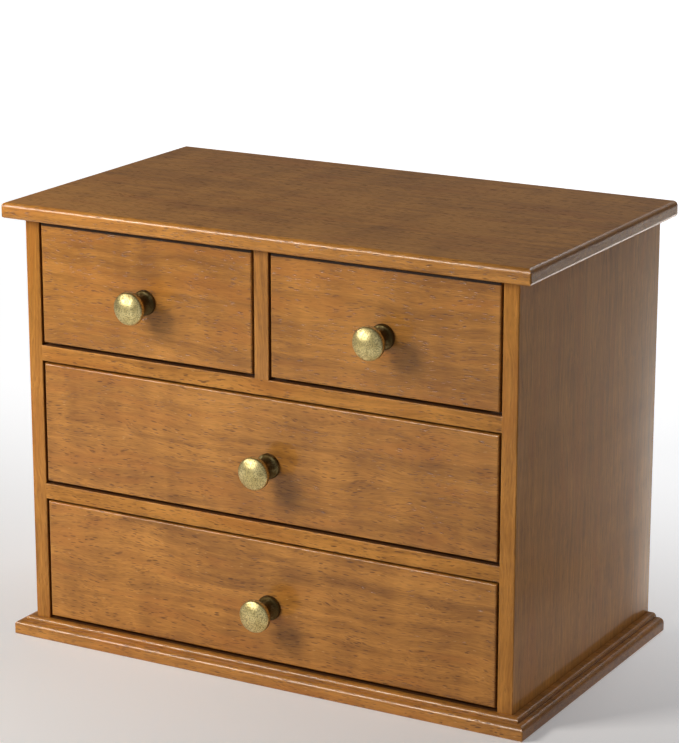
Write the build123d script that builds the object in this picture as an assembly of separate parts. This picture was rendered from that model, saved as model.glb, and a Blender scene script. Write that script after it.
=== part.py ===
from build123d import *

import os

# A desktop chest of four small drawers, in millimetres.
#
# +X runs to the right of someone facing the drawers, +Y towards the back and +Z up. The origin is
# the middle of the base board's flat underside. Every board is a separate piece, as on the bench.

# ---- carcass ----
body_width = 340.0           # outside of the two side panels
body_depth = 200.0           # front edge of the side panels to their back edge
board = 10.0                 # thickness of the sides, shelves, partition and top
base_height = 11.4
opening_height = 80.75       # clear height of each of the three rows
end_overhang = 11.3          # how far the top and the base pass the side panels
front_overhang = 9.5         # how far they pass the front; both end flush at the back

# ---- mouldings of the two boards ----
top_roundover = 3.0
top_lower_round = 2.2
base_foot_round = 1.2
base_step_height = 8.8       # floor to the ledge of the two-step moulding
base_lower_roundover = 3.4
base_ledge = 2.1
base_upper_roundover = 2.4
board_corner_round = 1.0     # upright front corners of both boards
opening_ease = 0.6           # sanded arris around each drawer opening
panel_corner_round = 0.7     # outer front corner of a side panel

# ---- back panel ----
back_thickness = 3.0
back_rebate_width = 5.0
back_side_play = 0.25

# ---- drawers ----
front_thickness = 10.0
front_gap_side = 1.5
front_gap_bottom = 2.1
front_gap_top = 1.4
front_edge_round = 1.2
drawer_wall = 8.0            # thickness of the drawer sides and the drawer back
drawer_side_height = 70.0
front_rebate = 5.0           # how far a drawer side runs into the front
rear_rebate = 4.0            # how far the drawer back is let into a side
bottom_thickness = 3.0
bottom_height = 6.0          # running edge to the underside of the drawer bottom
groove_depth = 4.0
drawer_back_drop = 4.0       # the drawer back ends this much below the tops of the sides
drawer_rear_play = 0.3

# ---- knobs, from the drawer's face outwards ----
knob_height = 35.0           # lower edge of a front to the knob's axis
knob_shift_wide = 4.5        # the two wide fronts are drilled a little right of their middle
flange_radius = 7.9
flange_rim = 1.0
flange_top_radius = 6.6
flange_height = 2.4
neck_radius = 3.9
neck_place = 7.6
head_back_radius = 9.2
head_back_place = 15.4
head_radius = 10.3
band_start = 16.4
band_end = 17.8
face_radius = 9.5
face_place = 19.2
knob_length = 21.8

# ---- knob screws ----
knob_screw_radius = 2.0
knob_screw_play = 0.25       # in the hole through the drawer front
knob_screw_reach = 10.0      # length of thread inside the knob
knob_screw_end_space = 1.0
knob_screw_head_radius = 4.0
knob_screw_head_height = 2.6
knob_screw_head_round = 1.2
knob_screw_slot = 1.0        # width and depth of the driving slot

# ---- dowels, base screws and back panel pins ----
dowel_radius = 3.0
dowel_in_edge = 15.0         # length in the edge of a board
dowel_in_face = 6.5          # length in the face of a board
dowel_end_space = 1.0
base_screw_radius = 1.8
base_screw_head_radius = 3.8
base_screw_head_height = 2.2
base_screw_recess = 0.4
base_screw_top = 32.0        # floor to the screw's tip
base_screw_tip = 3.0
pin_radius = 0.7
pin_head_radius = 1.6
pin_head_height = 0.5
pin_length = 14.0
pins_per_side = 4
pins_per_shelf = 3
fastener_inset = 30.0        # first and last fasteners from the front and the back panel

# ---- places that follow from the sizes above ----
half_width = body_width / 2
inner_half = half_width - board
total_width = body_width + 2 * end_overhang
total_depth = body_depth + front_overhang
front_y = front_overhang - total_depth / 2
back_y = total_depth / 2
back_panel_y = back_y - back_thickness
floor_bottom = base_height
floor_middle = floor_bottom + opening_height + board
floor_top = floor_middle + opening_height + board
top_underside = floor_top + opening_height
upper_step = base_lower_roundover + base_ledge
drawer_length = back_panel_y - drawer_rear_play - front_y
front_low = front_gap_bottom
front_high = opening_height - front_gap_top
drawer_bottom_top = bottom_height + bottom_thickness
fastener_ys = (front_y + fastener_inset, (front_y + back_panel_y) / 2, back_panel_y - fastener_inset)
panel_middles = (board / 2 - half_width, half_width - board / 2)

LEFT, RIGHT = Vector(-1, 0, 0), Vector(1, 0, 0)
FORWARD, BACKWARD = Vector(0, -1, 0), Vector(0, 1, 0)
DOWN, UP = Vector(0, 0, -1), Vector(0, 0, 1)
UPRIGHT_FROM_FRONT = Plane(origin=(0, front_y, 0), x_dir=(0, 0, 1), z_dir=(-1, 0, 0))


def block(x_low, x_high, y_low, y_high, z_low, z_high):
    """A squared board between two opposite corners."""
    middle = Pos((x_low + x_high) / 2, (y_low + y_high) / 2, (z_low + z_high) / 2)
    return middle * Box(x_high - x_low, y_high - y_low, z_high - z_low)


def strip(low, high, bottom, top):
    """A flat rectangle between two opposite corners, for a section."""
    return Pos((low + high) / 2, (bottom + top) / 2) * Rectangle(high - low, top - bottom)


def corner_waste(x, y, z_low, z_high, radius, turn):
    """What easing takes off an upright corner; unturned, the wood lies towards +X and +Y."""
    waste = strip(0, radius, 0, radius) - Pos(radius, radius) * Circle(radius)
    return Pos(x, y, z_low) * Rot(0, 0, turn) * extrude(waste, amount=z_high - z_low)


# ---- moulded boards ----

def round_ends(section, height, radius, both_ends):
    """Round the outermost corners of a section at one height, at the front end or at both."""
    level = [corner for corner in section.vertices() if abs(corner.Y - height) < 0.01]
    level.sort(key=lambda corner: corner.X)
    corners = [level[0], level[-1]] if both_ends else [level[0]]
    return fillet(corners, radius)


def top_section(low, high, both_ends):
    """Section of the top board: a roundover above a smaller round."""
    section = strip(low, high, 0, board)
    section = round_ends(section, board, top_roundover, both_ends)
    return round_ends(section, 0, top_lower_round, both_ends)


def base_section(low, high, both_ends):
    """Section of the base board: a roundover, a ledge and a second roundover above it."""
    upper_high = high - upper_step if both_ends else high
    section = strip(low, high, 0, base_step_height) + strip(low + upper_step, upper_high, 0, base_height)
    section = round_ends(section, base_height, base_upper_roundover, both_ends)
    section = round_ends(section, base_step_height, base_lower_roundover, both_ends)
    return round_ends(section, 0, base_foot_round, both_ends)


def moulded_board(section, steps):
    """A board moulded on its front and both ends: two long mouldings that meet in mitres."""
    across = Plane.XZ * section(-total_width / 2, total_width / 2, True)
    along = Plane.YZ * section(-total_depth / 2, total_depth / 2, False)
    solid = extrude(across, amount=total_depth, both=True) & extrude(along, amount=total_width, both=True)
    for inset in steps:
        corner_x, corner_y = total_width / 2 - inset, inset - total_depth / 2
        solid -= corner_waste(-corner_x, corner_y, 0 if inset == 0 else base_step_height, base_height,
                              board_corner_round, 0)
        solid -= corner_waste(corner_x, corner_y, 0 if inset == 0 else base_step_height, base_height,
                              board_corner_round, 90)
    return solid


# ---- drawer openings ----

def flared(low, high):
    """Section of an opening's mouth, from the air in front of it to the end of its quarter rounds."""
    mouth = strip(low - opening_ease, high + opening_ease, -opening_ease, opening_ease)
    for centre in (low - opening_ease, high + opening_ease):
        mouth -= Pos(centre, opening_ease) * Circle(opening_ease)
    return mouth


def opening_mouth(x_low, x_high, z_low, z_high):
    """The eased mouth that is cut around one drawer opening, mitred at its corners."""
    across = Pos(0, front_y, 0) * flared(x_low, x_high)
    upright = UPRIGHT_FROM_FRONT * flared(z_low, z_high)
    return extrude(across, amount=2 * top_underside, both=True) & extrude(upright, amount=body_width, both=True)


def opening_mouths():
    """All four mouths; they run on into the top and the base, which have no arris there."""
    below, above = floor_bottom - board, top_underside + board
    return [
        opening_mouth(-inner_half, inner_half, below, floor_middle - board),
        opening_mouth(-inner_half, inner_half, floor_middle, floor_top - board),
        opening_mouth(-inner_half, -board / 2, floor_top, above),
        opening_mouth(board / 2, inner_half, floor_top, above),
    ]


# ---- fasteners ----

def peg(joint, direction, ahead, behind, radius):
    """A round peg through a joint face: so far ahead of the face and so far behind it."""
    start = Plane(origin=joint - direction * behind, z_dir=direction)
    return start * extrude(Circle(radius), amount=ahead + behind)


def dowels(joints):
    """One dowel at each joint, from the edge of one board into the face of the next."""
    return [peg(joint, way, dowel_in_face, dowel_in_edge, dowel_radius) for joint, way in joints]


def dowel_holes(joints):
    """The drilled holes, a little longer than the dowels so that glue has somewhere to go."""
    ahead, behind = dowel_in_face + dowel_end_space, dowel_in_edge + dowel_end_space
    return [peg(joint, way, ahead, behind, dowel_radius) for joint, way in joints]


def shelf_joints(floor):
    """Where the ends of a shelf meet the side panels, and the way into the panel."""
    height = floor - board / 2
    return [(Vector(way.X * inner_half, y, height), way) for way in (LEFT, RIGHT) for y in fastener_ys]


def partition_joints(height, way):
    """Two places along the partition's top or bottom edge."""
    return [(Vector(0, y, height), way) for y in (fastener_ys[0], fastener_ys[-1])]


def top_joints():
    """Where the side panels and the partition meet the top board."""
    joints = [(Vector(x, y, top_underside), UP) for x in panel_middles for y in fastener_ys]
    return joints + partition_joints(top_underside, UP)


def turned(edges):
    """A solid of revolution about the Y axis, from its closed outline in the XY plane."""
    return revolve(make_face(edges), Axis.Y)


def base_screw(x, y):
    """A countersunk wood screw, driven up through the base board into a side panel."""
    outline = Polyline(
        (0, base_screw_recess),
        (base_screw_head_radius, base_screw_recess),
        (base_screw_radius, base_screw_recess + base_screw_head_height),
        (base_screw_radius, base_screw_top - base_screw_tip),
        (0, base_screw_top),
        close=True,
    )
    return Pos(x, y, 0) * Rot(90, 0, 0) * turned(outline.edges())


def panel_pin(x, z):
    """A flat-headed pin, driven forward through the back panel."""
    entry = Vector(x, back_y, z)
    head = peg(entry, FORWARD, pin_head_height, 0, pin_head_radius)
    return head + peg(entry, FORWARD, pin_length, 0, pin_radius)


def panel_pins():
    """Pins up both sides of the back panel and along the back edge of each shelf."""
    side_x = inner_half + back_rebate_width / 2
    side_step = (top_underside - floor_bottom) / pins_per_side
    shelf_step = 2 * inner_half / pins_per_shelf
    side_zs = [floor_bottom + side_step * (row + 0.5) for row in range(pins_per_side)]
    shelf_xs = [shelf_step * (place + 0.5) - inner_half for place in range(pins_per_shelf)]
    pins = [panel_pin(x, z) for x in (-side_x, side_x) for z in side_zs]
    return pins + [panel_pin(x, floor - board / 2) for floor in (floor_middle, floor_top) for x in shelf_xs]


# ---- carcass ----

def side_panel(side, cutters):
    """A side panel with a rebate for the back panel along its inner back edge."""
    inner, outer = side * inner_half, side * half_width
    rebate = side * (inner_half + back_rebate_width)
    panel = block(min(inner, outer), max(inner, outer), front_y, back_y, base_height, top_underside)
    panel -= block(min(inner, rebate), max(inner, rebate), back_panel_y, back_y, base_height, top_underside)
    turn = 90 if side > 0 else 0
    panel -= corner_waste(outer, front_y, base_height, top_underside, panel_corner_round, turn)
    return fitted(panel, cutters)


def shelf(floor, cutters):
    """A shelf that ends against the back panel; its top is the floor of the row above."""
    return fitted(block(-inner_half, inner_half, front_y, back_panel_y, floor - board, floor), cutters)


def fitted(member, cutters):
    """A board after each hole and each eased mouth that reaches it has been cut in turn."""
    for cutter in cutters:
        member -= cutter
    return member


def make_carcass():
    """All the fixed pieces, by name."""
    upper_joints = shelf_joints(floor_top) + partition_joints(floor_top, DOWN)
    lower_joints = shelf_joints(floor_middle)
    screws = [base_screw(x, y) for x in panel_middles for y in fastener_ys]
    recesses = [
        peg(Vector(x, y, 0), UP, base_screw_recess, 0, base_screw_head_radius)
        for x in panel_middles for y in fastener_ys
    ]
    pins = panel_pins()
    holes = dowel_holes(top_joints() + upper_joints + lower_joints)
    cutters = opening_mouths() + holes + screws + pins
    back_half = inner_half + back_rebate_width - back_side_play
    back_panel = block(-back_half, back_half, back_panel_y, back_y, floor_bottom, top_underside)
    partition = block(-board / 2, board / 2, front_y, back_panel_y, floor_top, top_underside)
    return {
        "top_board": Pos(0, 0, top_underside) * moulded_board(top_section, (0,)) - holes,
        "base_board": moulded_board(base_section, (0, upper_step)) - screws - recesses,
        "side_panel_left": side_panel(-1, cutters),
        "side_panel_right": side_panel(1, cutters),
        "upper_shelf": shelf(floor_top, cutters),
        "lower_shelf": shelf(floor_middle, cutters),
        "centre_partition": fitted(partition, cutters),
        "back_panel": back_panel - pins,
        "top_dowels": dowels(top_joints()),
        "upper_shelf_dowels": dowels(upper_joints),
        "lower_shelf_dowels": dowels(lower_joints),
        "base_screws": screws,
        "back_panel_pins": pins,
    }


# ---- drawers; each is made with its face on y = 0 and its running edges on z = 0 ----

def bottom_sheet(width):
    """The drawer bottom: it lies in the grooves and runs out under the drawer back."""
    half = width / 2 - drawer_wall + groove_depth
    start = front_thickness - groove_depth
    return block(-half, half, start, drawer_length, bottom_height, drawer_bottom_top)


def back_board(width, top):
    """A board that stands on the drawer bottom, let into the rear ends of the sides."""
    half = width / 2 - drawer_wall + rear_rebate
    return block(-half, half, drawer_length - drawer_wall, drawer_length, drawer_bottom_top, top)


def drawer_side(width, side):
    """A drawer side, grooved for the bottom and rebated for the back."""
    outer, inner = side * width / 2, side * (width / 2 - drawer_wall)
    panel = block(min(outer, inner), max(outer, inner), front_rebate, drawer_length, 0, drawer_side_height)
    return panel - bottom_sheet(width) - back_board(width, drawer_side_height)


def drawer_front(width, knob_x):
    """A front with rounded edges, rebated for the sides and grooved for the bottom."""
    half = width / 2
    front = block(-half, half, 0, front_thickness, front_low, front_high)
    front = fillet(front.faces().sort_by(Axis.Y)[0].edges(), front_edge_round)
    front -= block(-half, drawer_wall - half, front_rebate, front_thickness, front_low, drawer_side_height)
    front -= block(half - drawer_wall, half, front_rebate, front_thickness, front_low, drawer_side_height)
    knob_axis = Vector(knob_x, 0, front_low + knob_height)
    hole = peg(knob_axis, BACKWARD, front_thickness, 0, knob_screw_radius + knob_screw_play)
    return front - bottom_sheet(width) - hole


def knob():
    """A turned knob: flange, coved neck, trumpet, banded head and a domed face."""
    rim, flange_top = (flange_radius, -flange_rim), (flange_top_radius, -flange_height)
    neck, head_back = (neck_radius, -neck_place), (head_back_radius, -head_back_place)
    band_back, band_front = (head_radius, -band_start), (head_radius, -band_end)
    face_edge, face_middle = (face_radius, -face_place), (0, -knob_length)
    outline = Polyline(face_middle, (0, 0), (flange_radius, 0), rim).edges()
    outline += TangentArc(rim, flange_top, tangent=(0, -1)).edges()
    outline += TangentArc(neck, flange_top, tangent=(0, 1)).edges()
    outline += TangentArc(neck, head_back, tangent=(0, -1)).edges()
    outline += TangentArc(band_back, head_back, tangent=(0, 1)).edges()
    outline += Line(band_back, band_front).edges()
    outline += TangentArc(band_front, face_edge, tangent=(0, -1)).edges()
    outline += TangentArc(face_middle, face_edge, tangent=(1, 0)).edges()
    hole = peg(Vector(0, 0, 0), FORWARD, knob_screw_reach + knob_screw_end_space, 0, knob_screw_radius)
    return turned(outline) - hole


def knob_screw():
    """A round-headed machine screw: its head bears on the inside of the drawer front."""
    inside = Vector(0, front_thickness, 0)
    head_end = front_thickness + knob_screw_head_height
    head = peg(inside, BACKWARD, knob_screw_head_height, 0, knob_screw_head_radius)
    head = fillet(head.faces().sort_by(Axis.Y)[-1].edges(), knob_screw_head_round)
    head -= block(-knob_screw_head_radius, knob_screw_head_radius, head_end - knob_screw_slot, head_end,
                  -knob_screw_slot / 2, knob_screw_slot / 2)
    return head + peg(inside, FORWARD, front_thickness + knob_screw_reach, 0, knob_screw_radius)


def make_drawer(name, centre_x, floor, opening_width, knob_shift):
    """One drawer of seven pieces, in its place in the carcass."""
    width = opening_width - 2 * front_gap_side
    place = Pos(centre_x, front_y, floor)
    knob_place = place * Pos(knob_shift, 0, front_low + knob_height)
    return {
        f"{name}_front": place * drawer_front(width, knob_shift),
        f"{name}_side_left": place * drawer_side(width, -1),
        f"{name}_side_right": place * drawer_side(width, 1),
        f"{name}_back": place * back_board(width, drawer_side_height - drawer_back_drop),
        f"{name}_bottom": place * bottom_sheet(width),
        f"{name}_knob": knob_place * knob(),
        f"{name}_knob_screw": knob_place * knob_screw(),
    }


def make_drawers():
    """Two small drawers side by side over two wide ones."""
    small_opening = inner_half - board / 2
    small_x = (inner_half + board / 2) / 2
    wide_opening = 2 * inner_half
    return {
        **make_drawer("top_left_drawer", -small_x, floor_top, small_opening, 0),
        **make_drawer("top_right_drawer", small_x, floor_top, small_opening, 0),
        **make_drawer("middle_drawer", 0, floor_middle, wide_opening, knob_shift_wide),
        **make_drawer("bottom_drawer", 0, floor_bottom, wide_opening, knob_shift_wide),
    }


os.makedirs("parts", exist_ok=True)
for node, piece in {**make_carcass(), **make_drawers()}.items():
    solid = Compound(children=piece) if isinstance(piece, list) else piece
    export_step(solid, f"parts/{node}.step")
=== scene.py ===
import math

import bpy
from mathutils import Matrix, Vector


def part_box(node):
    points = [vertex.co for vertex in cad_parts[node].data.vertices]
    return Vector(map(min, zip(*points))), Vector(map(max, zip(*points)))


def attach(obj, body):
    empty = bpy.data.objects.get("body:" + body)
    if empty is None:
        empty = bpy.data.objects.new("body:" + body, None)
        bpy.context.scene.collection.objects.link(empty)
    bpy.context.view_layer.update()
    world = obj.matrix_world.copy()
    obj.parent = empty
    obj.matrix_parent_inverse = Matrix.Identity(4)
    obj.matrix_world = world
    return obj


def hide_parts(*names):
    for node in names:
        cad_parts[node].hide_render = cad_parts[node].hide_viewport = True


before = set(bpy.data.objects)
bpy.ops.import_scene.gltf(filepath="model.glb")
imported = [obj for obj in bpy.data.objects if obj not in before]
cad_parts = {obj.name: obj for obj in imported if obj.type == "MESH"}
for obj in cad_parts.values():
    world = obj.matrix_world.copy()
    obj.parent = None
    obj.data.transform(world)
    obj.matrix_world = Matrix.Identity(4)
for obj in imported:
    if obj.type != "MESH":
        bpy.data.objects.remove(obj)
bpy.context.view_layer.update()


# ---- Base board ----
# A solid hardwood board with its grain running the long way. The front and both ends carry a
# two-step moulding cut with a router, and the whole is stained honey brown and lacquered satin.

dark_honey = (0.265, 0.103, 0.016, 1)
honey = (0.430, 0.176, 0.028, 1)
bright_honey = (0.610, 0.262, 0.046, 1)
russet = (0.470, 0.165, 0.024, 1)
pore_brown = (0.095, 0.034, 0.009, 1)
# a painted highlight for the glints beside the pores
painted_glint = (0.830, 0.500, 0.200, 1)
end_grain_shade = (0.80, 0.74, 0.72, 1)
end_pore_brown = (0.090, 0.036, 0.012, 1)
# painted shade for the wood inside the carcass, where the drawers stand
painted_inside_shade = (0.28, 0.25, 0.24, 1)
wander_width = 0.018
rings_per_metre = 260.0
pore_length, pore_width, pore_depth = 0.0064, 0.00072, 0.00007

# the room for the drawers, reaching a hair into the faces of the boards round it, where shade is painted
inside_low, inside_high = (-0.1602, -0.0946, 0.0113), (0.1602, 0.1100, 0.2738)

# the turn that brings a board's grain, which runs along one of these axes, to lie along X
grain_turns = {"X": (0, 0, 0), "Y": (0, 0, -math.pi / 2), "Z": (0, math.pi / 2, 0)}


def add(tree, kind, inputs, **settings):
    """Adds one shader node; each input is a value, or the output of an earlier node."""
    node = tree.nodes.new("ShaderNode" + kind)
    for setting, value in settings.items():
        setattr(node, setting, value)
    for socket, value in inputs.items():
        if isinstance(value, bpy.types.NodeSocket):
            tree.links.new(value, node.inputs[socket])
        else:
            node.inputs[socket].default_value = value
    return node


def calc(tree, operation, first, second=0.0, third=0.0):
    """One sum on numbers."""
    return add(tree, "Math", {0: first, 1: second, 2: third}, operation=operation).outputs[0]


def between(tree, value, low, high, to_low=0.0, to_high=1.0):
    """Carries a number from one range to another, smoothly and no further than its ends."""
    inputs = {"Value": value, "From Min": low, "From Max": high, "To Min": to_low, "To Max": to_high}
    return add(tree, "MapRange", inputs, interpolation_type="SMOOTHSTEP").outputs["Result"]


def mixed(tree, share, first, second, blend="MIX"):
    """Mixes two colours."""
    node = add(tree, "Mix", {0: share, 6: first, 7: second}, data_type="RGBA", blend_type=blend)
    return node.outputs[2]


def axes_of(tree, vector):
    """The X, Y and Z of a place or a direction, each to be used on its own."""
    return add(tree, "SeparateXYZ", {"Vector": vector}).outputs


def stretched(tree, place, along, across):
    """Coordinates whose unit is so long along the grain and so wide across it, in metres."""
    scale = (1 / along, 1 / across, 1 / across)
    return add(tree, "Mapping", {"Vector": place, "Scale": scale}).outputs["Vector"]


def cloud(tree, place, detail=1.0, rough=0.5, per_unit=1.0):
    """Soft noise from 0 to 1, with so many waves to the unit."""
    inputs = {"Vector": place, "Scale": per_unit, "Detail": detail, "Roughness": rough}
    return add(tree, "TexNoise", inputs).outputs["Fac"]


def within(tree, place, low, high):
    """One inside a box and nothing outside it."""
    parts = axes_of(tree, place)
    inside = 1.0
    for axis, start, end in zip("XYZ", low, high):
        past_start = calc(tree, "GREATER_THAN", parts[axis], start)
        before_end = calc(tree, "LESS_THAN", parts[axis], end)
        inside = calc(tree, "MULTIPLY", inside, calc(tree, "MULTIPLY", past_start, before_end))
    return inside


def fresh_material(name):
    """A new material, with its node tree and its shader."""
    material = bpy.data.materials.new(name)
    material.use_nodes = True
    return material, material.node_tree, material.node_tree.nodes["Principled BSDF"]


def board_place(tree, grain, cut):
    """Where a point of a board lay in the tree, with the trunk along X."""
    spot = add(tree, "TexCoord", {})
    turned = add(tree, "Mapping", {"Vector": spot.outputs["Object"], "Rotation": grain_turns[grain]})
    return spot, add(tree, "Mapping", {"Vector": turned.outputs["Vector"], "Location": cut}).outputs["Vector"]


def stained_wood(name, grain, cut, tone=0.0, heart=(0.06, -0.30), figure=1.0, pored=1.0, streak=0.004,
                 housing=False, gloss=0.45, levelled=False):
    """Honey-stained wood with short dark pores, cut from the tree at its own place."""
    material, tree, shader = fresh_material(name)
    spot, placed = board_place(tree, grain, cut)

    # the grain wanders a few millimetres across the board
    wander_inputs = {"Vector": stretched(tree, placed, 0.10, 0.030), "Scale": 1.0, "Detail": 3.0}
    wander = add(tree, "TexNoise", wander_inputs).outputs["Color"]
    sway = add(tree, "VectorMath", {0: wander, 1: (0.5, 0.5, 0.5)}, operation="SUBTRACT")
    reach = (0.0, wander_width, wander_width)
    bend = add(tree, "VectorMath", {0: sway.outputs[0], 1: reach}, operation="MULTIPLY")
    wood = add(tree, "VectorMath", {0: placed, 1: bend.outputs[0]}, operation="ADD").outputs[0]

    # year rings about the heart of the tree, whose place is given from the middle of the board
    parts = axes_of(tree, wood)
    side = calc(tree, "SUBTRACT", parts["Y"], heart[0] + cut[1])
    rise = calc(tree, "SUBTRACT", parts["Z"], heart[1] + cut[2])
    squares = calc(tree, "ADD", calc(tree, "POWER", side, 2.0), calc(tree, "POWER", rise, 2.0))
    ring_inputs = {"W": calc(tree, "SQRT", squares), "Scale": rings_per_metre, "Detail": 2.0}
    rings = add(tree, "TexNoise", ring_inputs, noise_dimensions="1D").outputs["Fac"]

    # each layer adds its share to the depth of the stain, which lies round 0.5 plus the tone
    streaks = cloud(tree, stretched(tree, wood, 0.14, streak), 2.0)
    fibres = cloud(tree, stretched(tree, wood, 0.012, 0.0007), 2.0, 0.6)
    mottle = cloud(tree, stretched(tree, placed, 0.018, 0.08), 1.0)
    patches = cloud(tree, stretched(tree, placed, 0.09, 0.05), 1.0)
    layers = ((rings, 0.52), (streaks, 0.80), (fibres, 0.72),
              (mottle, 0.62 * figure), (patches, 0.50 * figure))
    depth = 0.5 + tone - sum(share for _, share in layers) / 2
    for layer, share in layers:
        depth = calc(tree, "MULTIPLY_ADD", layer, share, depth)
    ramp = add(tree, "ValToRGB", {"Fac": depth})
    stops = ramp.color_ramp.elements
    stops[0].position = 0.15
    stops[0].color = dark_honey
    stops[1].position = 0.85
    stops[1].color = bright_honey
    stops.new(0.50).color = honey
    redness = between(tree, cloud(tree, stretched(tree, wood, 0.07, 0.012), 2.0), 0.50, 0.70, 0.0, 0.45)
    coloured = mixed(tree, redness, ramp.outputs["Color"], russet)

    # open pores: short dark dashes along the grain, thick in some places and few in others
    crowd = between(tree, cloud(tree, stretched(tree, wood, 0.030, 0.011)), 0.38, 0.62, 0.50, 1.00)
    pores = add(tree, "TexVoronoi", {"Vector": stretched(tree, wood, pore_length, pore_width), "Scale": 1.0})
    lot = add(tree, "SeparateColor", {"Color": pores.outputs["Color"]}).outputs
    heart_of_cell = between(tree, pores.outputs["Distance"], 0.22, 0.48, 1.0, 0.0)
    open_pore = calc(tree, "MULTIPLY", heart_of_cell, calc(tree, "LESS_THAN", lot["Red"], crowd))
    weight = calc(tree, "MULTIPLY", open_pore, between(tree, lot["Green"], 0.20, 1.0, 0.15, 1.0))
    weight = calc(tree, "MULTIPLY", weight, pored)
    stained = mixed(tree, calc(tree, "MULTIPLY", weight, 0.80), coloured, pore_brown)

    # a few cells in a hundred hold a painted glint instead: a pale highlight beside the pore
    glint = between(tree, pores.outputs["Distance"], 0.10, 0.28, 1.0, 0.0)
    glint = calc(tree, "MULTIPLY", glint, calc(tree, "GREATER_THAN", lot["Red"], 0.965))
    stained = mixed(tree, calc(tree, "MULTIPLY", glint, 0.50 * pored), stained, painted_glint)

    # cut ends drink more stain and show the pores as dots
    facing = add(tree, "Mapping", {"Vector": spot.outputs["Normal"], "Rotation": grain_turns[grain]})
    along = calc(tree, "ABSOLUTE", axes_of(tree, facing.outputs["Vector"])["X"])
    cut_end = between(tree, along, 0.70, 0.98)
    dots = cloud(tree, stretched(tree, placed, 0.0016, 0.0009), 2.0, 0.7)
    dots = between(tree, dots, 0.35, 0.65, 0.62, 1.0)
    darker = mixed(tree, 1.0, stained, end_grain_shade, "MULTIPLY")
    darker = mixed(tree, calc(tree, "SUBTRACT", 1.0, dots), darker, end_pore_brown)
    finished = mixed(tree, cut_end, stained, darker)

    # satin lacquer that sinks into the pores; inside the carcass the wood is painted darker as shade, and
    # dull
    dullness = calc(tree, "MULTIPLY_ADD", fibres, 0.20, 0.30)
    if housing:
        inside = within(tree, spot.outputs["Object"], inside_low, inside_high)
        shaded = mixed(tree, 1.0, finished, painted_inside_shade, "MULTIPLY")
        finished = mixed(tree, inside, finished, shaded)
        dullness = calc(tree, "MULTIPLY_ADD", inside, 0.40, dullness)
    tree.links.new(finished, shader.inputs["Base Color"])
    tree.links.new(calc(tree, "MULTIPLY_ADD", weight, 0.25, dullness), shader.inputs["Roughness"])
    swell = calc(tree, "MULTIPLY", cloud(tree, stretched(tree, placed, 0.03, 0.018)), 0.9)
    relief = calc(tree, "MULTIPLY_ADD", weight, -1.0, calc(tree, "MULTIPLY_ADD", fibres, 0.45, swell))
    bump = add(tree, "Bump", {"Height": relief, "Distance": pore_depth, "Strength": 1.0})
    tree.links.new(bump.outputs["Normal"], shader.inputs["Normal"])
    if not levelled:
        tree.links.new(bump.outputs["Normal"], shader.inputs["Coat Normal"])
    shader.inputs["Specular IOR Level"].default_value = 0.05 if levelled else 0.20
    shader.inputs["Coat Weight"].default_value = gloss
    shader.inputs["Coat Roughness"].default_value = 0.11
    return material


def finish(node, material):
    """Gives a piece that comes from the CAD model its finish."""
    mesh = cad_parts[node].data
    mesh.materials.clear()
    mesh.materials.append(material)


base_wood = stained_wood("base_board_wood", "X", (0.31, 0.05, 0.02), tone=0.04, heart=(-0.02, -0.25),
                         housing=True)
finish("base_board", base_wood)


# ---- Side panels ----
# Two upright boards with the grain running up and the lacquer flowed out level. They stand on the
# base board, each rebated at the back for the thin back panel.

for side, cut, heart in (("left", (0.10, 0.43, 0.21), (0.02, -0.60)),
                         ("right", (0.47, 0.12, 0.33), (-0.03, 0.22))):
    panel_wood = stained_wood(side + "_panel_wood", "Z", cut, tone=0.05, heart=heart, figure=0.5,
                              pored=0.35, streak=0.0024, housing=True, levelled=True)
    finish("side_panel_" + side, panel_wood)


# ---- Shelves and partition ----
# Two shelves run between the side panels and show as rails between the drawers. A short upright
# partition stands on the upper one.

lower_wood = stained_wood("lower_shelf_wood", "X", (0.63, 0.22, 0.51), tone=0.16, heart=(0.02, -0.20),
                          housing=True, gloss=0.1)
finish("lower_shelf", lower_wood)
upper_wood = stained_wood("upper_shelf_wood", "X", (0.17, 0.61, 0.28), tone=0.07, heart=(0.02, -0.10),
                          housing=True, gloss=0.1)
finish("upper_shelf", upper_wood)
partition_wood = stained_wood("partition_wood", "Z", (0.71, 0.34, 0.11), tone=0.03, heart=(0.02, -0.30),
                              figure=0.6, pored=0.5, streak=0.0024, housing=True)
finish("centre_partition", partition_wood)


# ---- Dowels, screws and pins ----
# Beech dowels hold the boards edge to face, countersunk screws hold the base, and small pins hold
# the back panel. The screws behind the knobs are of the same plated steel.

# painted shade for the front ends of the drawer sides, where they show in the gaps under the fronts
gap_shade_brown = (0.120, 0.045, 0.012, 1)
gap_shade_fade, gap_shade_wander = 0.003, 0.008


def bare_wood(name, grain, cut, pale, deep, shaded_to=None):
    """Wood sanded but not lacquered; painted shade may darken it from the front, as far as a given Y."""
    material, tree, shader = fresh_material(name)
    spot, wood = board_place(tree, grain, cut)
    streaks = cloud(tree, stretched(tree, wood, 0.20, 0.004), 3.0)
    fibres = cloud(tree, stretched(tree, wood, 0.015, 0.0006), 2.0, 0.6)
    depth = calc(tree, "MULTIPLY_ADD", streaks, 1.1, calc(tree, "MULTIPLY_ADD", fibres, 0.5, -0.3))
    colour = mixed(tree, depth, deep, pale)
    if shaded_to is not None:
        # the front end is painted dark brown as shade, with a ragged edge
        reach = axes_of(tree, spot.outputs["Object"])["Y"]
        ragged = calc(tree, "MULTIPLY_ADD", fibres, gap_shade_wander, reach)
        gap_shaded = between(tree, ragged, shaded_to - gap_shade_fade, shaded_to + gap_shade_fade, 1.0, 0.0)
        colour = mixed(tree, gap_shaded, colour, gap_shade_brown)
    tree.links.new(colour, shader.inputs["Base Color"])
    tree.links.new(calc(tree, "MULTIPLY_ADD", fibres, 0.2, 0.5), shader.inputs["Roughness"])
    bump = add(tree, "Bump", {"Height": fibres, "Distance": 0.00005, "Strength": 1.0})
    tree.links.new(bump.outputs["Normal"], shader.inputs["Normal"])
    return material


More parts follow.
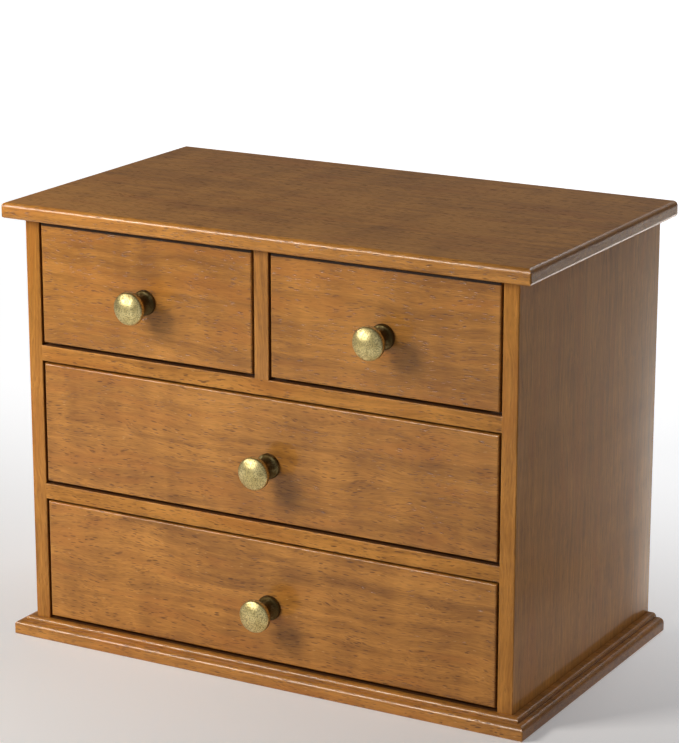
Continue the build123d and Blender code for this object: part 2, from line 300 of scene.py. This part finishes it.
def plated_steel(name):
    """Zinc-plated steel with a faint crystal mottle."""
    material, tree, shader = fresh_material(name)
    crystals = cloud(tree, add(tree, "TexCoord", {}).outputs["Object"], 3.0, per_unit=900.0)
    colour = mixed(tree, crystals, (0.46, 0.46, 0.47, 1), (0.66, 0.66, 0.65, 1))
    tree.links.new(colour, shader.inputs["Base Color"])
    tree.links.new(calc(tree, "MULTIPLY_ADD", crystals, 0.3, 0.2), shader.inputs["Roughness"])
    shader.inputs["Metallic"].default_value = 1.0
    return material


beech = bare_wood("dowel_beech", "Z", (0, 0, 0), pale=(0.66, 0.47, 0.29, 1), deep=(0.50, 0.33, 0.18, 1))
for group in ("top_dowels", "upper_shelf_dowels", "lower_shelf_dowels"):
    finish(group, beech)
steel = plated_steel("screw_steel")
finish("base_screws", steel)
finish("back_panel_pins", steel)


# ---- Back panel ----
# A thin sheet of plywood with a weak brown stain and no lacquer. It lies in the rebates of the side
# panels and is pinned there.

back_ply = bare_wood("back_panel_ply", "X", (0.3, 0.1, 0.2), pale=(0.46, 0.26, 0.11, 1),
                     deep=(0.30, 0.15, 0.055, 1))
finish("back_panel", back_ply)


# ---- Top board ----
# A solid board with the grain running the long way, rounded over on its front and both ends. It
# overhangs the body there and sits on dowels in the side panels and the partition.

top_wood = stained_wood("top_board_wood", "X", (0.05, 0.27, 0.64), tone=0.19, heart=(-0.04, -0.45),
                        housing=True)
finish("top_board", top_wood)


# ---- Drawer fronts ----
# Four solid fronts with softly rounded edges, grain running across. A dark line of painted shadow,
# standing in for the shade of the gap under the overhanging top, runs across the two small ones.

# the heights between which the line darkens, and those between which it clears again
line_starts, line_full, line_clears, line_ends = 0.2695, 0.2699, 0.2713, 0.2716
# a painted shadow for the gap under the overhanging top
gap_shadow_black = (0.012, 0.007, 0.004, 1)


def add_painted_gap_shadow(wood):
    """Paints the gap's shadow line onto a front, on the faces that look forward."""
    tree = wood.node_tree
    shader = tree.nodes["Principled BSDF"]
    clean = shader.inputs["Base Color"].links[0].from_socket
    dullness = shader.inputs["Roughness"].links[0].from_socket
    spot = add(tree, "TexCoord", {}).outputs
    height = axes_of(tree, spot["Object"])["Z"]
    forward = between(tree, axes_of(tree, spot["Normal"])["Y"], -0.5, -0.3, 1.0, 0.0)
    above = between(tree, height, line_starts, line_full)
    below = between(tree, height, line_clears, line_ends, 1.0, 0.0)
    # painted shadow of the gap, on the forward faces between the heights above
    gap_shadow = calc(tree, "MULTIPLY", calc(tree, "MULTIPLY", above, below), forward)
    lined = mixed(tree, calc(tree, "MULTIPLY", gap_shadow, 0.95), clean, gap_shadow_black)
    tree.links.new(lined, shader.inputs["Base Color"])
    tree.links.new(calc(tree, "MULTIPLY_ADD", gap_shadow, 0.45, dullness), shader.inputs["Roughness"])


for place, cut, heart, tone in (("top_left", (0.22, 0.35, 0.09), (0.25, 0.30), 0.0),
                                ("top_right", (0.52, 0.44, 0.37), (0.30, 0.15), 0.0),
                                ("middle", (0.81, 0.15, 0.72), (0.20, 0.18), 0.0),
                                ("bottom", (0.38, 0.71, 0.46), (0.24, -0.02), 0.03)):
    front_wood = stained_wood(place + "_front_wood", "X", cut, tone=tone, heart=heart)
    # the two small fronts sit under the overhang and get the painted gap shadow
    if place in ("top_left", "top_right"):
        add_painted_gap_shadow(front_wood)
    finish(place + "_drawer_front", front_wood)


# ---- Drawer boxes ----
# Pale bare wood sides and backs, with a thin plywood bottom held in grooves. The sides are painted
# dark brown a little way back from the fronts, as shade where they show in the gaps under them.

drawers = ("top_left_drawer", "top_right_drawer", "middle_drawer", "bottom_drawer")
front_face = -0.09525
# how far back from the front the painted shade reaches on the drawer sides
gap_shade_run = 0.022
box_pale, box_deep = (0.62, 0.44, 0.26, 1), (0.47, 0.30, 0.16, 1)
box_side = bare_wood("drawer_side_wood", "Y", (0.1, 0.2, 0.3), box_pale, box_deep, front_face + gap_shade_run)
box_back = bare_wood("drawer_back_wood", "X", (0.4, 0.1, 0.2), box_pale, box_deep)
box_bottom = bare_wood("drawer_bottom_ply", "X", (0.7, 0.5, 0.1), pale=(0.58, 0.40, 0.23, 1),
                       deep=(0.46, 0.29, 0.15, 1))
for drawer in drawers:
    finish(drawer + "_side_left", box_side)
    finish(drawer + "_side_right", box_side)
    finish(drawer + "_back", box_back)
    finish(drawer + "_bottom", box_bottom)


# ---- Knobs ----
# Turned brass knobs with an antique finish, which is rubbed bright on the head and stays dark in
# the hollow behind it. A screw from inside the drawer goes into a blind hole in each.

# each place on the outline is a radius and a distance out from the face of the drawer
flange, flange_top, neck = (0.0079, 0.0010), (0.0066, 0.0024), (0.0039, 0.0076)
head_back, band_back, band_front = (0.0092, 0.0154), (0.0103, 0.0164), (0.0103, 0.0178)
face_edge, face_middle = (0.0095, 0.0192), 0.0218
hole_radius, hole_depth = 0.0020, 0.0110
points_round = 72
rubbed_from = 0.0156
brass_dull, brass_bright = (0.62, 0.50, 0.21, 1), (0.82, 0.69, 0.33, 1)
pit_brown, patina_brown = (0.20, 0.14, 0.045, 1), (0.100, 0.062, 0.020, 1)


def antique_brass(name):
    """Brass rubbed bright on the head, over a brown patina that stays behind it and in the pits."""
    material, tree, shader = fresh_material(name)
    spot = add(tree, "TexCoord", {}).outputs["Object"]
    speckle = cloud(tree, spot, 2.0, per_unit=1250.0)
    tarnish = cloud(tree, spot, 3.0, per_unit=200.0)
    pit = between(tree, speckle, 0.40, 0.54, 1.0, 0.0)
    brass = mixed(tree, between(tree, tarnish, 0.3, 0.7), brass_dull, brass_bright)
    brass = mixed(tree, calc(tree, "MULTIPLY", pit, 0.60), brass, pit_brown)
    behind = between(tree, axes_of(tree, spot)["Y"], front_face - band_front[1], front_face - rubbed_from)
    patina = calc(tree, "MULTIPLY", behind, between(tree, tarnish, 0.50, 0.68, 0.98, 0.72))
    tree.links.new(mixed(tree, patina, brass, patina_brown), shader.inputs["Base Color"])
    dullness = calc(tree, "MULTIPLY_ADD", pit, 0.15, 0.32)
    tree.links.new(calc(tree, "MULTIPLY_ADD", patina, 0.20, dullness), shader.inputs["Roughness"])
    bump = add(tree, "Bump", {"Height": speckle, "Distance": 0.00004, "Strength": 1.0})
    tree.links.new(bump.outputs["Normal"], shader.inputs["Normal"])
    shader.inputs["Metallic"].default_value = 1.0
    return material


def bow(start, end, steps):
    """Points of a turned curve that leaves its start along the axis."""
    across, out = end[0] - start[0], end[1] - start[1]
    radius = (across ** 2 + out ** 2) / (2 * abs(across))
    sweep = math.asin(min(1.0, abs(out) / radius))
    turns = [sweep * step / steps for step in range(steps + 1)]
    return [
        (start[0] + math.copysign(radius * (1 - math.cos(turn)), across),
         start[1] + math.copysign(radius * math.sin(turn), out))
        for turn in turns
    ]


knob_outline = [(hole_radius, 0.0), (flange[0], 0.0)] + bow(flange, flange_top, 8)
knob_outline += bow(neck, flange_top, 12)[::-1][1:] + bow(neck, head_back, 16)[1:]
knob_outline += bow(band_back, head_back, 8)[::-1][1:] + bow(band_front, face_edge, 10)
for share in (0.85, 0.70, 0.55, 0.40, 0.25, 0.12):
    rise = (face_middle - face_edge[1]) * (1 - share ** 2)
    knob_outline.append((face_edge[0] * share, face_edge[1] + rise))


def turned_knob(x, y, z):
    """Draws one ring after another out from the bottom of the screw hole, round to the face."""
    bpy.ops.object.select_all(action="DESELECT")
    bpy.ops.mesh.primitive_circle_add(vertices=points_round, radius=hole_radius, fill_type="NGON",
                                      location=(x, y - hole_depth, z), rotation=(math.pi / 2, 0, 0))
    knob = bpy.context.object
    bpy.ops.object.mode_set(mode="EDIT")
    bpy.ops.mesh.select_all(action="SELECT")
    radius, out = hole_radius, hole_depth
    for next_radius, next_out in knob_outline:
        bpy.ops.mesh.extrude_region_move(TRANSFORM_OT_translate={"value": (0, out - next_out, 0)})
        bpy.ops.transform.resize(value=(next_radius / radius, 1, next_radius / radius),
                                 center_override=(x, y - next_out, z))
        radius, out = next_radius, next_out
    bpy.ops.mesh.select_all(action="SELECT")
    bpy.ops.mesh.normals_make_consistent(inside=False)
    bpy.ops.object.mode_set(mode="OBJECT")
    bpy.ops.object.transform_apply(location=True, rotation=True, scale=True)
    bpy.ops.object.shade_smooth_by_angle(angle=math.radians(35))
    return knob


def copied(pattern, shift):
    """A second piece with its own mesh, so far from the first."""
    bpy.ops.object.select_all(action="DESELECT")
    pattern.select_set(True)
    bpy.context.view_layer.objects.active = pattern
    bpy.ops.object.duplicate(linked=False)
    bpy.ops.transform.translate(value=shift)
    bpy.ops.object.transform_apply(location=True, rotation=True, scale=True)
    return bpy.context.object


def knob_seat(drawer):
    """Where a knob's axis meets the face of its drawer."""
    low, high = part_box(drawer + "_knob")
    return Vector(((low[0] + high[0]) / 2, high[1], (low[2] + high[2]) / 2))


first_seat = knob_seat(drawers[0])
first_knob = turned_knob(*first_seat)
first_knob.data.materials.append(antique_brass("knob_brass"))
for drawer in drawers:
    knob = first_knob if drawer == drawers[0] else copied(first_knob, knob_seat(drawer) - first_seat)
    knob.name = drawer + "_turned_knob"
    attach(knob, drawer)
    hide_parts(drawer + "_knob")
    finish(drawer + "_knob_screw", steel)


# ---- Floor, light and camera ----
# A pale floor that glows towards the back, a card that only shows as the sheen along the right
# side, and six soft lights: the key with a strip for its shine, one for the knobs alone, a broad
# fill from the front, one behind and a wash on the far floor.

bpy.ops.object.select_all(action="DESELECT")
bpy.ops.mesh.primitive_plane_add(size=14.0, location=(0, 0, 0))
floor = bpy.context.object
floor.name = "floor"
floor_paint, ground, paint = fresh_material("floor_paint")
paint.inputs["Base Color"].default_value = (0.85, 0.85, 0.86, 1)
paint.inputs["Roughness"].default_value = 0.8
paint.inputs["Specular IOR Level"].default_value = 0.2
paint.inputs["Emission Color"].default_value = (1, 1, 1, 1)

# the glow grows from front to back, and stops on the right, where the right side would mirror it
least_glow, added_glow = 0.15, 0.50
growth_start, growth_end = -0.15, 0.45
edge_slope, edge_dark, edge_bright = -2.4, -0.85, -0.55
spot = axes_of(ground, add(ground, "TexCoord", {}).outputs["Object"])
backward = between(ground, spot["Y"], growth_start, growth_end)
glow = calc(ground, "MULTIPLY_ADD", backward, added_glow, least_glow)
forward = calc(ground, "MULTIPLY", spot["Y"], -1.0)
leftward = calc(ground, "MULTIPLY_ADD", spot["X"], edge_slope, forward)
glow = calc(ground, "MULTIPLY", glow, between(ground, leftward, edge_dark, edge_bright))
ground.links.new(glow, paint.inputs["Emission Strength"])
floor.data.materials.append(floor_paint)

card_middle, card_width, card_depth = (0.65, 0.70, 0.002), 0.96, 1.8
bpy.ops.object.select_all(action="DESELECT")
bpy.ops.mesh.primitive_plane_add(size=1.0, location=card_middle)
bpy.ops.transform.resize(value=(card_width, card_depth, 1.0), center_override=card_middle)
bpy.ops.object.transform_apply(location=True, rotation=True, scale=True)
side_card = bpy.context.object
side_card.name = "side_card"
card_glow, card, _ = fresh_material("card_glow")

# its glow begins along a slant from this place, so that the sheen begins at an upright line, and
# from near the body outwards it weakens and lets less of the floor through
slant_x, slant_y = -0.492, -1.477
slant_dark, slant_bright = 2.33, 2.45
fade_in_start, fade_in_end = 0.17, 0.20
weakening_start, weakening_end, glow_near, glow_far = 0.28, 0.60, 4.2, 1.2
veil_start, veil_end, clear, smoked = 0.22, 0.42, (1, 1, 1, 1), (0.25, 0.25, 0.25, 1)
spot = axes_of(card, add(card, "TexCoord", {}).outputs["Object"])
ahead = calc(card, "SUBTRACT", spot["Y"], slant_y)
aside = calc(card, "SUBTRACT", spot["X"], slant_x)
glow = between(card, calc(card, "DIVIDE", ahead, aside), slant_dark, slant_bright)
glow = calc(card, "MULTIPLY", glow, between(card, spot["X"], fade_in_start, fade_in_end))
strength = between(card, spot["X"], weakening_start, weakening_end, glow_near, glow_far)
glow = calc(card, "MULTIPLY", glow, strength)
shine = add(card, "Emission", {"Color": (1.0, 0.95, 0.87, 1), "Strength": glow}).outputs[0]
tint = mixed(card, between(card, spot["X"], veil_start, veil_end), clear, smoked)
veil = add(card, "BsdfTransparent", {"Color": tint}).outputs[0]
seen = add(card, "AddShader", {0: veil, 1: shine}).outputs[0]
card.links.new(seen, card.nodes["Material Output"].inputs["Surface"])
side_card.data.materials.append(card_glow)
side_card.visible_camera = False
side_card.visible_diffuse = False
side_card.visible_shadow = False

world = bpy.data.worlds.new("studio")
world.use_nodes = True
sky = world.node_tree.nodes["Background"]
sky.inputs["Color"].default_value = (0.95, 0.97, 1.0, 1)
sky.inputs["Strength"].default_value = 0.11
bpy.context.scene.world = world
bpy.context.scene.view_settings.view_transform = "Standard"

body_middle = Vector((0, 0, 0.14))


def around(azimuth, elevation, distance):
    """A place round the object; azimuth 0 is in front of it."""
    turn, lift = math.radians(azimuth), math.radians(elevation)
    way = Vector((math.sin(turn) * math.cos(lift), -math.cos(turn) * math.cos(lift), math.sin(lift)))
    return body_middle + way * distance


def softbox(name, place, width, height, power, colour, aim=body_middle):
    """A rectangular light at one place that looks at another; the camera doesn't see it."""
    bpy.ops.object.light_add(type="AREA", location=place)
    light = bpy.context.object
    light.name = name
    light.rotation_euler = (place - aim).to_track_quat("Z", "Y").to_euler()
    light.visible_camera = False
    light.data.shape = "RECTANGLE"
    light.data.size = width
    light.data.size_y = height
    light.data.energy = power
    light.data.color = colour
    return light


key_light = softbox("key_light", around(-33, 29, 0.92), 0.28, 0.26, power=4.9, colour=(1.0, 0.96, 0.90))
key_light.visible_glossy = False
sheen_strip = softbox("sheen_strip", around(-23, 28, 1.0), 0.95, 0.24, power=14.5, colour=(1.0, 0.97, 0.92))
sheen_strip.visible_diffuse = False
knob_light = softbox("knob_light", around(-34, 20, 1.0), 0.72, 0.36, power=4.2, colour=(1.0, 0.98, 0.92))

# the strip misses the knobs, and the knobs' own light falls on nothing else
for light, state in ((sheen_strip, "EXCLUDE"), (knob_light, "INCLUDE")):
    receivers = bpy.data.collections.new(light.name + "_receivers")
    for drawer in drawers:
        receivers.objects.link(bpy.data.objects[drawer + "_turned_knob"])
    for entry in receivers.collection_objects:
        entry.light_linking.link_state = state
    light.light_linking.receiver_collection = receivers
softbox("fill_light", around(5, 12, 2.6), 2.0, 1.2, power=3.2, colour=(0.97, 0.98, 1.0))
softbox("back_light", around(165, 38, 2.2), 1.6, 0.35, power=11.0, colour=(0.95, 0.97, 1.0))
softbox("floor_wash", Vector((-0.9, 2.2, 1.6)), 2.5, 1.5, power=24.0, colour=(1.0, 1.0, 1.0),
        aim=Vector((-1.0, 3.1, 0.0)))

photo_height, focal_length = 743, 2799.8      # both in pixels
sensor_size = 36.0
camera_azimuth, camera_elevation, camera_roll = math.radians(29.41), math.radians(15.60), math.radians(-0.01)
bpy.ops.object.camera_add(location=(0.83241, -1.47701, 0.64799))
camera = bpy.context.object
camera.name = "camera"
camera.rotation_euler = (math.pi / 2 - camera_elevation, camera_roll, camera_azimuth)
camera.data.sensor_width = sensor_size
camera.data.lens = focal_length / photo_height * sensor_size
camera.data.clip_end = 30.0
bpy.context.scene.camera = camera
